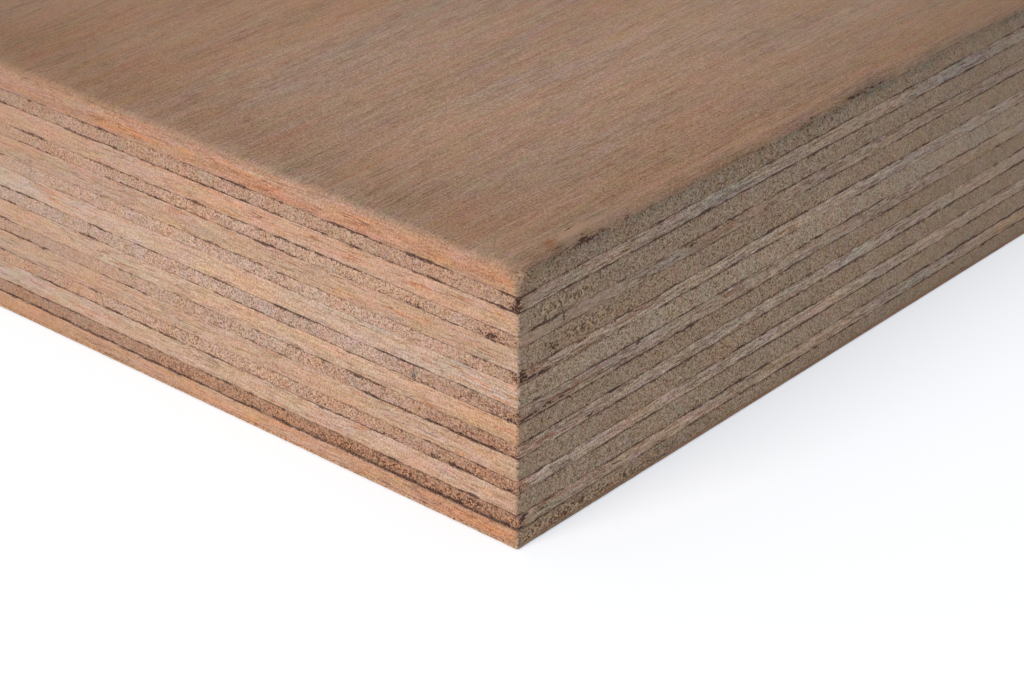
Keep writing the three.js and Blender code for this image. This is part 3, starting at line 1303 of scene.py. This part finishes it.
FACE = WoodFinish(long_grain=(0.443, 0.296, 0.219), end_grain=(0.55, 0.345, 0.252),
                  streak=(0.52, 0.235, 0.125), pore=(0.17, 0.095, 0.07), grain=Grain.ALONG_X,
                  fibre_length=26.0, cell=0.17, long_contrast=0.16, end_contrast=0.08, long_pore=0.5,
                  end_pore=0.1, speck=1.55, end_speck=0.95, fleck=0.2, blotch=0.36, waver=1.3,
                  streak_share=0.15, crack=0.42, band=0.38, figure=0.26, bump=0.35, rings=0.07,
                  heart=HeartBand(106.0, 34.0, (0.97, 0.905, 0.83)))
BACK = WoodFinish(long_grain=(0.433, 0.283, 0.193), end_grain=(0.54, 0.33, 0.22), streak=(0.32, 0.16, 0.1),
                  pore=(0.14, 0.08, 0.06), grain=Grain.ALONG_X)
FINISHES = {"face_veneer": FACE, "back_veneer": BACK, "cross_ply": CROSS, "long_ply": LONG}

# The tone of each core ply, numbered from the face
TONES = {
    2: Tone(0.86, 0.45, 0.84, 0.0, 0.5),
    3: Tone(0.85, -0.5, 0.88, 0.1),
    4: Tone(1.02, 0.05, 0.99, 0.0),
    5: Tone(0.87, -0.05, 1.0, 0.0),
    6: Tone(0.93, 0.0, 0.94, 0.1, -0.3),
    7: Tone(1.03, -0.45, 1.02, -0.3),
    8: Tone(1.095, -0.5, 1.12, -0.2, -0.3),
    9: Tone(0.98, -0.25, 1.03, -0.5),
    10: Tone(1.11, -0.05, 0.985, 0.1, -0.45),
    11: Tone(1.1, -0.25, 0.97, -0.2),
    12: Tone(1.01, 0.0, 1.0, 0.1, -0.3),
    13: Tone(1.17, -0.25, 1.06, 0.0),
    14: Tone(1.16, -0.35, 1.12, 0.0, -0.4),
    15: Tone(1.16, -0.1, 0.84, 0.25),
    16: Tone(0.98, 0.65, 1.02, 0.0),
}
# How far from the low corner each core ply has its first butt joint
JOINTS = {2: 176.0, 3: 214.0, 4: 141.0, 5: 243.0, 6: 229.0, 7: 152.0, 8: 133.0, 9: 17.9,
          10: 205.0, 11: 187.0, 12: 158.0, 13: 128.0, 14: 247.0, 15: 221.0, 16: 192.0}
# How cured each glue line is, numbered from the face
CURES = {1: 0.15, 2: 0.6, 3: 0.7, 4: 0.5, 5: 0.55, 6: 0.4, 7: 0.3, 8: 0.6,
         9: 0.45, 10: 0.32, 11: 0.72, 12: 0.38, 13: 0.5, 14: 0.55, 15: 0.9, 16: 0.0}

# Each mark's along, depth, width, rise and strength, from the top face down
MARK_ROWS: dict[tuple[Side, Flaw], Rows] = {
    (Side.LEFT_END, Flaw.STAIN): (
        (0.2, 3.8, 0.6, 0.55, 1.25), (0.0, 4.4, 14.0, 1.2, 0.08), (0.3, 4.6, 0.7, 0.45, 0.75),
        (0.6, 5.1, 1.3, 0.3, 1.3), (0.0, 10.0, 14.0, 1.2, 0.08), (4.7, 10.3, 2.0, 0.48, 1.25),
        (17.3, 10.3, 1.7, 0.4, 1.4), (38.0, 10.5, 2.5, 0.3, 0.5), (0.2, 14.8, 0.9, 0.55, 1.4),
        (0.0, 15.0, 14.0, 1.2, 0.1), (0.0, 20.3, 16.0, 1.2, 0.2), (0.0, 20.5, 6.0, 1.0, 0.12),
        (18.2, 21.0, 0.5, 0.4, 0.8), (1.2, 21.25, 1.2, 0.28, 1.2), (9.6, 21.25, 0.8, 0.22, 1.1),
        (16.0, 21.25, 0.9, 0.2, 0.9), (19.8, 21.25, 0.7, 0.22, 1.0), (28.3, 24.6, 0.5, 0.3, 1.0),
        (0.0, 25.6, 18.0, 1.2, 0.14), (0.0, 26.1, 6.0, 0.8, 0.2), (0.0, 31.2, 16.0, 0.8, 0.1),
        (13.8, 31.5, 1.2, 0.32, 1.0), (16.4, 31.5, 0.5, 0.3, 1.0), (9.4, 31.6, 2.6, 0.3, 1.1),
        (22.5, 31.6, 2.5, 0.3, 0.7), (1.2, 31.7, 1.2, 0.22, 1.1), (0.0, 36.1, 21.0, 1.2, 0.24),
        (8.0, 36.95, 34.0, 0.25, 0.55),
    ),
    (Side.LEFT_END, Flaw.WARM): (
        (105.0, -8.0, 38.0, 12.0, 0.15), (53.0, 1.2, 3.0, 0.6, 0.8), (6.0, 1.6, 5.0, 0.9, 0.5),
        (28.0, 1.6, 3.5, 0.7, 0.9), (18.0, 1.7, 6.0, 0.8, 0.35), (72.0, 1.8, 8.0, 0.8, 0.7),
        (45.0, 1.9, 4.0, 0.8, 1.2), (36.0, 2.5, 3.0, 0.4, 0.7), (0.2, 4.4, 1.0, 0.9, 1.0),
        (35.5, 6.5, 1.5, 0.4, 0.7), (10.0, 6.6, 1.6, 0.4, 0.8), (45.5, 6.8, 3.0, 0.6, 0.9),
        (28.5, 6.9, 2.2, 0.6, 0.9), (3.0, 7.0, 1.4, 0.6, 0.8), (17.0, 7.3, 3.5, 0.5, 0.7),
        (85.0, 9.7, 25.0, 1.0, 0.22), (4.4, 10.1, 3.0, 0.7, 0.7), (18.0, 12.2, 6.0, 0.7, 0.7),
        (7.0, 12.4, 3.0, 0.6, 0.6), (29.0, 13.0, 3.0, 0.5, 0.6), (0.0, 15.0, 16.0, 1.1, 0.3),
        (0.5, 15.0, 1.3, 0.9, 0.8), (0.0, 17.6, 14.0, 1.3, 0.3), (0.0, 20.3, 18.0, 1.2, 0.8),
        (0.0, 22.8, 14.0, 1.3, 0.4), (16.0, 24.0, 8.0, 0.5, 0.5), (0.0, 25.6, 20.0, 1.2, 1.0),
        (0.0, 30.9, 24.0, 1.2, 1.0), (4.0, 33.6, 9.0, 0.9, 0.5), (12.0, 36.1, 48.0, 1.2, 1.0),
        (8.0, 36.95, 34.0, 0.3, 0.6), (6.0, 38.5, 12.0, 0.9, 0.7), (26.0, 38.9, 1.6, 0.4, 0.8),
    ),
    (Side.LEFT_END, Flaw.COOL): (
        (9.5, 16.0, 1.8, 0.3, 0.5), (24.5, 16.0, 2.5, 0.3, 0.3), (17.4, 20.0, 0.4, 0.6, 0.75),
        (42.0, 20.3, 13.0, 0.9, 0.25), (18.1, 20.8, 0.45, 0.5, 0.85),
    ),
    (Side.LEFT_END, Flaw.TORN): (
        (0.0, 4.4, 30.0, 1.1, 0.25), (0.0, 9.7, 14.0, 1.0, 0.35), (0.0, 15.0, 20.0, 1.1, 0.25),
        (0.0, 20.3, 18.0, 1.1, 0.6), (0.0, 25.6, 20.0, 1.1, 0.85), (0.0, 30.8, 20.0, 1.1, 0.8),
        (0.0, 36.1, 80.0, 1.1, 0.9),
    ),
    (Side.LEFT_END, Flaw.PIT): ((0.0, 4.4, 0.6, 0.8, 0.7),),
    (Side.LEFT_END, Flaw.PALE): ((85.0, 25.5, 25.0, 1.0, 0.4),),
    (Side.LEFT_END, Flaw.GRIME_AND_SHADE): (
        (105.0, -8.0, 38.0, 12.0, 0.33), (10.0, 0.0, 50.0, 0.9, 0.28), (0.0, 0.4, 9.0, 1.2, 0.3),
        (75.0, 1.7, 50.0, 1.3, 0.14), (0.0, 2.0, 1.0, 1.3, 0.5), (0.2, 2.3, 0.6, 1.2, 0.7),
        (0.0, 9.8, 0.9, 1.2, 0.6), (0.0, 20.3, 0.8, 1.1, 0.6), (0.0, 25.9, 8.0, 1.0, 0.2),
        (0.0, 31.5, 0.7, 3.4, 0.4), (0.0, 36.1, 21.0, 1.2, 0.07), (8.0, 36.95, 34.0, 0.32, 0.75),
        (6.0, 37.3, 22.0, 0.2, 0.6),
    ),
    (Side.FRONT, Flaw.STAIN): (
        (12.4, -1.6, 3.6, 0.2, 0.62), (8.6, -0.5, 0.35, 0.4, 0.6), (12.9, 0.48, 1.3, 0.32, 1.15),
        (19.6, 0.5, 0.8, 0.2, 0.6), (61.0, 0.5, 3.5, 0.3, 0.42), (75.0, 0.5, 4.5, 0.34, 0.5),
        (16.6, 0.58, 1.5, 0.2, 0.8), (300.0, 0.58, 400.0, 0.13, 0.3), (10.6, 0.6, 1.2, 0.18, 0.6),
        (21.8, 0.6, 0.7, 0.18, 0.7), (25.6, 0.6, 1.0, 0.16, 0.6), (0.4, 2.3, 0.5, 1.2, 0.7),
        (28.7, 3.4, 0.7, 0.25, 0.9), (0.2, 3.8, 0.5, 0.45, 1.1), (27.9, 3.9, 0.6, 0.25, 0.9),
        (27.1, 4.5, 0.6, 0.25, 0.9), (20.7, 4.6, 0.7, 0.4, 0.7), (33.6, 4.9, 0.9, 0.35, 0.9),
        (0.5, 4.95, 0.6, 0.35, 1.0), (31.6, 5.1, 1.2, 0.25, 0.6), (6.0, 7.6, 5.0, 0.8, 0.22),
        (5.2, 8.45, 0.45, 0.35, 1.2), (8.0, 8.7, 1.6, 0.25, 0.9), (35.0, 9.3, 0.8, 0.4, 0.9),
        (8.8, 9.5, 0.26, 0.9, 1.1), (13.5, 12.3, 8.0, 0.9, 0.42), (6.6, 12.8, 1.5, 0.6, 0.75),
        (5.0, 14.3, 1.6, 0.14, 0.75), (0.4, 14.5, 1.1, 0.42, 2.6), (0.9, 15.1, 1.3, 0.3, 1.6),
        (14.0, 15.2, 2.5, 0.12, 0.6), (1.2, 15.4, 1.2, 0.25, 1.1), (3.0, 15.45, 2.4, 0.16, 1.1),
        (6.6, 15.8, 2.6, 0.16, 1.05), (24.5, 19.5, 1.0, 0.25, 0.8), (13.0, 19.8, 1.8, 0.18, 0.6),
        (4.0, 20.1, 3.0, 0.14, 0.6), (7.6, 20.8, 2.6, 0.22, 1.2), (1.6, 20.9, 2.0, 0.28, 1.4),
        (5.5, 25.2, 3.0, 0.12, 0.6), (14.5, 26.2, 1.2, 0.35, 0.9), (20.0, 26.5, 2.2, 0.2, 1.1),
        (10.3, 31.1, 0.4, 0.2, 1.0), (6.5, 35.8, 3.6, 0.16, 0.75), (20.0, 35.9, 1.6, 0.14, 0.7),
        (1.0, 36.0, 2.2, 0.9, 0.4), (0.9, 36.3, 0.6, 0.8, 0.95), (9.0, 36.6, 4.0, 0.12, 0.65),
        (10.0, 38.9, 16.0, 0.8, 0.3),
    ),
    # The row at along 0.3 and depth 1.8, on the worn corner, is a painted highlight.
    (Side.FRONT, Flaw.WARM): (
        (9.3, -0.8, 0.6, 0.55, 4.0), (8.4, -0.05, 0.6, 0.35, 4.0), (0.3, 1.8, 0.9, 1.6, 1.5),
        (0.2, 4.3, 0.7, 1.0, 0.8), (9.0, 4.4, 4.0, 0.5, 0.6), (46.0, 9.8, 7.0, 0.7, 0.4),
        (12.0, 12.6, 8.0, 0.7, 0.3), (25.5, 14.6, 4.0, 0.4, 0.7), (25.0, 14.8, 7.0, 0.4, 0.5),
        (4.0, 14.9, 4.5, 0.9, 0.6), (15.0, 15.4, 4.0, 0.4, 0.7), (16.0, 20.0, 3.0, 0.4, 0.7),
        (7.0, 20.3, 7.0, 0.7, 0.9), (5.0, 25.4, 5.0, 0.5, 0.5), (12.0, 25.5, 7.0, 0.5, 0.6),
        (0.6, 30.9, 0.9, 0.7, 1.2), (1.5, 31.1, 0.8, 0.3, 0.9), (27.0, 38.6, 3.0, 0.5, 0.6),
        (8.0, 38.8, 4.0, 0.6, 1.0), (19.0, 39.1, 2.5, 0.5, 0.8),
    ),
    (Side.FRONT, Flaw.TORN): (
        (8.5, 7.1, 7.0, 1.1, 1.0), (13.5, 12.3, 8.0, 1.2, 1.0), (0.6, 15.0, 1.4, 0.8, 0.7),
        (0.0, 17.6, 12.0, 1.3, 0.3), (0.3, 20.5, 1.1, 0.8, 0.7), (0.0, 22.9, 14.0, 1.3, 0.3),
        (0.0, 28.2, 12.0, 1.3, 0.3), (0.6, 30.9, 1.2, 0.8, 1.6), (0.0, 33.4, 12.0, 1.3, 0.3),
        (0.4, 36.1, 1.0, 0.9, 1.0), (0.0, 38.5, 30.0, 1.0, 0.5), (12.0, 38.6, 22.0, 0.9, 0.7),
    ),
    (Side.FRONT, Flaw.PIT): ((0.2, 14.8, 0.4, 0.5, 0.5),),
    # The row at depth 23 on the corner's edge is a painted highlight.
    (Side.FRONT, Flaw.PALE): (
        (14.0, -1.3, 2.6, 0.16, 0.8), (14.4, -0.8, 2.2, 0.7, 0.9), (11.6, -0.6, 1.3, 0.9, 1.0),
        (19.5, -0.4, 4.0, 0.7, 0.55), (1.9, 4.4, 1.1, 0.8, 0.5), (2.0, 9.7, 4.0, 0.9, 0.5),
        (14.0, 9.7, 8.0, 0.9, 0.7), (0.2, 23.0, 0.8, 1.2, 1.2),
    ),
    # The band at depth 0.78 along the whole front is painted shade on its arris.
    (Side.FRONT, Flaw.GRIME_AND_SHADE): (
        (8.9, -0.5, 0.9, 0.9, 1.0), (61.0, 0.35, 4.0, 0.7, 0.5), (75.0, 0.35, 6.0, 0.7, 0.7),
        (6.0, 0.45, 9.0, 0.5, 0.55), (300.0, 0.78, 2000.0, 0.66, 1.0), (0.3, 2.2, 0.8, 1.3, 0.8),
        (42.0, 9.7, 18.0, 0.9, 0.27), (42.0, 25.5, 22.0, 0.9, 0.22), (8.0, 36.1, 13.0, 1.2, 0.35),
    ),
    # The long bands along the back's and the right end's arrises are painted shade.
    (Side.BACK, Flaw.GRIME_AND_SHADE): ((300.0, 0.7, 2000.0, 0.6, 0.6),),
    (Side.RIGHT_END, Flaw.GRIME_AND_SHADE): ((300.0, 0.7, 2000.0, 0.6, 0.3),),
}
MARKS = tuple(Mark(side, flaw, *row) for (side, flaw), rows in MARK_ROWS.items() for row in rows)

# Each run's line, along, width, extra and cure, and its lift where it has one
RUN_ROWS: dict[Side, Rows] = {
    Side.LEFT_END: (
        (ALL_LINES, 300.0, 400.0, -0.01, -0.1), (1, 300.0, 400.0, -0.14, -0.5, 0.2),
        (2, 16.5, 2.6, 0.28, 0.6), (2, 49.5, 2.6, 0.14, 0.6), (3, 28.0, 1.2, 0.2, 0.6),
        (3, 14.0, 1.2, 0.16, 0.6), (3, 1.0, 4.5, 0.1, 0.6), (5, 30.0, 60.0, -0.02, -0.15),
        (7, 40.0, 60.0, -0.04, -0.35), (8, 20.5, 4.5, 0.12, 0.5), (8, 40.5, 6.5, 0.08, 0.4),
        (11, 12.0, 16.0, 0.14, 0.5), (11, 30.0, 60.0, -0.04, -0.25), (14, 8.5, 1.8, 0.14, 0.5),
        (14, 21.3, 1.3, 0.1, 0.5), (15, 40.0, 80.0, 0.14, 0.5), (15, 30.0, 60.0, 0.02, -0.42),
    ),
    Side.FRONT: (
        (ALL_LINES, 300.0, 400.0, 0.012, 0.02), (1, 300.0, 400.0, -0.04, -0.25, -0.1),
        (1, 10.4, 1.3, 0.04, 0.6), (1, 13.2, 1.6, 0.08, 0.7), (1, 16.4, 1.1, 0.03, 0.45),
        (1, 21.3, 1.2, 0.04, 0.5), (1, 25.4, 0.9, 0.05, 0.6), (1, 30.5, 0.9, 0.05, 0.6),
        (1, 48.0, 3.0, 0.04, 0.5), (1, 70.0, 5.0, 0.05, 0.4), (2, 3.0, 5.0, -0.03, -0.3),
        (2, 22.0, 26.0, -0.02, -0.25), (2, 30.0, 60.0, 0.01, 0.12), (3, 38.5, 2.0, 0.2, 0.5),
        (3, 0.5, 1.4, 0.03, 0.3), (3, 5.0, 3.4, -0.02, -0.2), (4, 21.5, 12.0, -0.06, -0.5),
        (5, 23.0, 13.0, -0.04, -0.35), (9, 30.0, 60.0, 0.02, 0.18), (10, 30.0, 60.0, 0.01, 0.14),
        (12, 30.0, 60.0, 0.02, 0.16), (13, 30.0, 60.0, 0.02, 0.22), (14, 47.5, 1.6, 0.25, 0.6),
        (14, 52.8, 1.6, 0.22, 0.6),
    ),
}
RUNS = tuple(GlueRun(side, *row) for side, rows in RUN_ROWS.items() for row in rows)


class Panel:
    """The whole panel, laid up from the frame's own nodes."""

    def __init__(self, seed: int = 17) -> None:
        """Reads the lay-up's heights from the frame and lays the rim's stations.

        Args:
            seed: what the panel's random draws start from.
        """
        self.rng = np.random.default_rng(seed)
        corners = {name: [np.array(corner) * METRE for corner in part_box(name)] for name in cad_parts}
        self.heights = {name: (float(low[2]), float(high[2])) for name, (low, high) in corners.items()}
        self.order = sorted(self.heights, key=lambda name: -self.heights[name][1])
        reach = corners["back_veneer"][1]
        top = max(high for _, high in self.heights.values())
        self.rim = Rim(half_x=float(reach[0]), half_y=float(reach[1]), thickness=top)

    def build(self) -> None:
        """Builds every glue line and every veneer, from the face down."""
        plies = [name for name in self.order if not name.startswith("glue_line")]
        films = [name for name in self.order if name.startswith("glue_line")]
        lines = [self._line(number, node) for number, node in enumerate(films, start=1)]
        glue = GlueMaterial().build("cured_glue")
        for line in lines:
            line.build(glue)
        bare = np.zeros(self.rim.count)
        unders = [(line.top, line.cure) for line in lines] + [(bare, bare)]
        overs = [(bare + self.rim.thickness, bare)] + [(line.bottom, line.cure) for line in lines]
        for number, (node, under, over) in enumerate(zip(plies, unders, overs), start=1):
            slot = node if node in FINISHES else node[:-len("_00")]
            veneer = Veneer(node, slot, self.rim, under[0], over[0], under[1], over[1], *self.heights[node],
                            FINISHES[slot].grain, MARKS, self.rng)
            veneer.build(self._wood(FINISHES[slot], number).build(node + "_wood"))

    def _line(self, number: int, node: str) -> GlueLine:
        """Returns the glue line of this number, counted from the face."""
        (low, high), cured = self.heights[node], CURES[number]
        return GlueLine(node, number, self.rim, 0.5 * (low + high), high - low, cured, RUNS, self.rng)

    def _wood(self, finish: WoodFinish, number: int) -> WoodMaterial:
        """Works out one ply's wood. A core ply has its own tone and joint.

        Args:
            finish: the finish of its kind.
            number: its number, counted from the face.

        Returns:
            The wood.
        """
        corner = (-self.rim.half_x, -self.rim.half_y, self.rim.thickness)
        joint = JOINTS.get(number, self.rim.half_x) - self.rim.half_x
        return WoodMaterial(finish, TONES.get(number, Tone()), number, joint, corner)


@dataclass(frozen=True)
class Studio:
    """The floor, the lamp and the camera.

    Lengths are metres, but for the lens, its film and the camera's place from the panel's near top corner,
    which are millimetres. Angles are degrees.
    """

    lens: float = 103.64
    film_width: float = 36.0
    yaw: float = 40.80
    pitch: float = 28.69
    roll: float = 0.20
    from_corner: tuple[float, float, float] = (-243.6, -209.24, 166.42)  # the camera's place
    floor_size: float = 9.0
    floor_drop: float = 0.0002  # how far under the panel it lies, so that the two don't share a plane
    floor_colour: Colour = (0.8, 0.8, 0.8)
    floor_glow: float = 0.51
    far_glow: float = 0.8  # the floor's glow away from the panel, where the lamp reaches less
    glow_from: float = 0.45  # where the glow starts to rise
    glow_to: float = 1.15
    glow_colour: Colour = (0.85, 0.91, 1.0)  # makes up for the warm lamp, so that the floor looks white
    fill_level: float = 0.435
    fill_colour: Colour = (0.97, 0.985, 1.0)
    key_watts: float = 46.0
    key_colour: Colour = (1.0, 0.94, 0.87)
    key_size: float = 1.6
    key_place: tuple[float, float, float] = (-2.6, -0.1, 1.5)

    def build(self, rim: Rim) -> None:
        """Makes the floor, the world, the lamp and the camera.

        Args:
            rim: the panel's edge, whose near corner the camera stands by.
        """
        self._floor()
        self._world()
        self._key()
        self._camera(rim)
        bpy.context.scene.view_settings.view_transform = "Standard"

    def _floor(self) -> None:
        """Makes the pale floor, white to the camera but for the panel's shadow.

        Its glow rises with the distance from its middle, so that it meets the white backdrop unseen.
        """
        half = self.floor_size / 2.0
        mesh = bpy.data.meshes.new("floor")
        mesh.from_pydata([(-half, -half, 0), (half, -half, 0), (half, half, 0), (-half, half, 0)], [],
                         [(0, 1, 2, 3)])
        floor = bpy.data.objects.new("floor", mesh)
        floor.location.z = -self.floor_drop
        bpy.context.collection.objects.link(floor)
        material = new_material("pale_floor")
        sheet = NodeSheet(material.node_tree)
        diffuse = sheet.node("BsdfDiffuse", {"Color": (*self.floor_colour, 1.0)}).outputs[0]
        away = sheet.distance(sheet.node("TexCoord").outputs["Object"])
        level = sheet.between(away, self.glow_from, self.glow_to, self.floor_glow, self.far_glow)
        glow = sheet.node("Emission", {"Color": (*self.glow_colour, 1.0),
                                       "Strength": sheet.times(sheet.seen(), level)})
        both = sheet.node("AddShader", {0: diffuse, 1: glow.outputs[0]}).outputs[0]
        sheet.node("OutputMaterial", {"Surface": both})
        mesh.materials.append(material)

    def _world(self) -> None:
        """Lights the panel evenly from all round, and shows the camera a white backdrop."""
        world = bpy.data.worlds.new("studio")
        bpy.context.scene.world = world
        world.use_nodes = True
        sheet = NodeSheet(world.node_tree)
        fill = sheet.node("Background", {"Color": (*self.fill_colour, 1.0), "Strength": self.fill_level})
        white = sheet.node("Background", {"Color": (*WHITE, 1.0), "Strength": 1.0})
        both = sheet.node("MixShader", {0: sheet.seen(), 1: fill.outputs[0], 2: white.outputs[0]}).outputs[0]
        sheet.node("OutputWorld", {"Surface": both})

    def _key(self) -> None:
        """Hangs a large soft lamp off the left end of the panel."""
        lamp = bpy.data.lights.new("key", "AREA")
        lamp.shape, lamp.size = "DISK", self.key_size
        lamp.energy, lamp.color = self.key_watts, self.key_colour
        key = bpy.data.objects.new("key", lamp)
        key.location = self.key_place
        key.rotation_euler = (-key.location).to_track_quat("-Z", "Y").to_euler()
        bpy.context.collection.objects.link(key)

    def _camera(self, rim: Rim) -> None:
        """Stands the camera off the near corner's top, turned by its yaw, its pitch and its roll.

        Args:
            rim: the panel's edge.
        """
        data = bpy.data.cameras.new("camera")
        data.lens, data.sensor_width, data.clip_start = self.lens, self.film_width, 0.01
        camera = bpy.data.objects.new("camera", data)
        yaw, pitch, roll = map(math.radians, (self.yaw, self.pitch, self.roll))
        look = Vector((math.cos(pitch) * math.cos(yaw), math.cos(pitch) * math.sin(yaw), -math.sin(pitch)))
        right = look.cross(Vector((0.0, 0.0, 1.0))).normalized()
        down = look.cross(right)
        right_rolled = right * math.cos(roll) - down * math.sin(roll)
        down_rolled = right * math.sin(roll) + down * math.cos(roll)
        corner = Vector((-rim.half_x, -rim.half_y, rim.thickness))
        turn = Matrix((right_rolled, -down_rolled, -look)).transposed().to_4x4()
        camera.matrix_world = Matrix.Translation((corner + Vector(self.from_corner)) / METRE) @ turn
        bpy.context.collection.objects.link(camera)
        bpy.context.scene.camera = camera


def main() -> None:
    """Builds the panel and its studio."""
    logging.basicConfig(level=logging.INFO, format="%(name)s: %(message)s")
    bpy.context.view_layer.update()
    panel = Panel()
    panel.build()
    Studio().build(panel.rim)


if __name__ == "__main__":
    main()
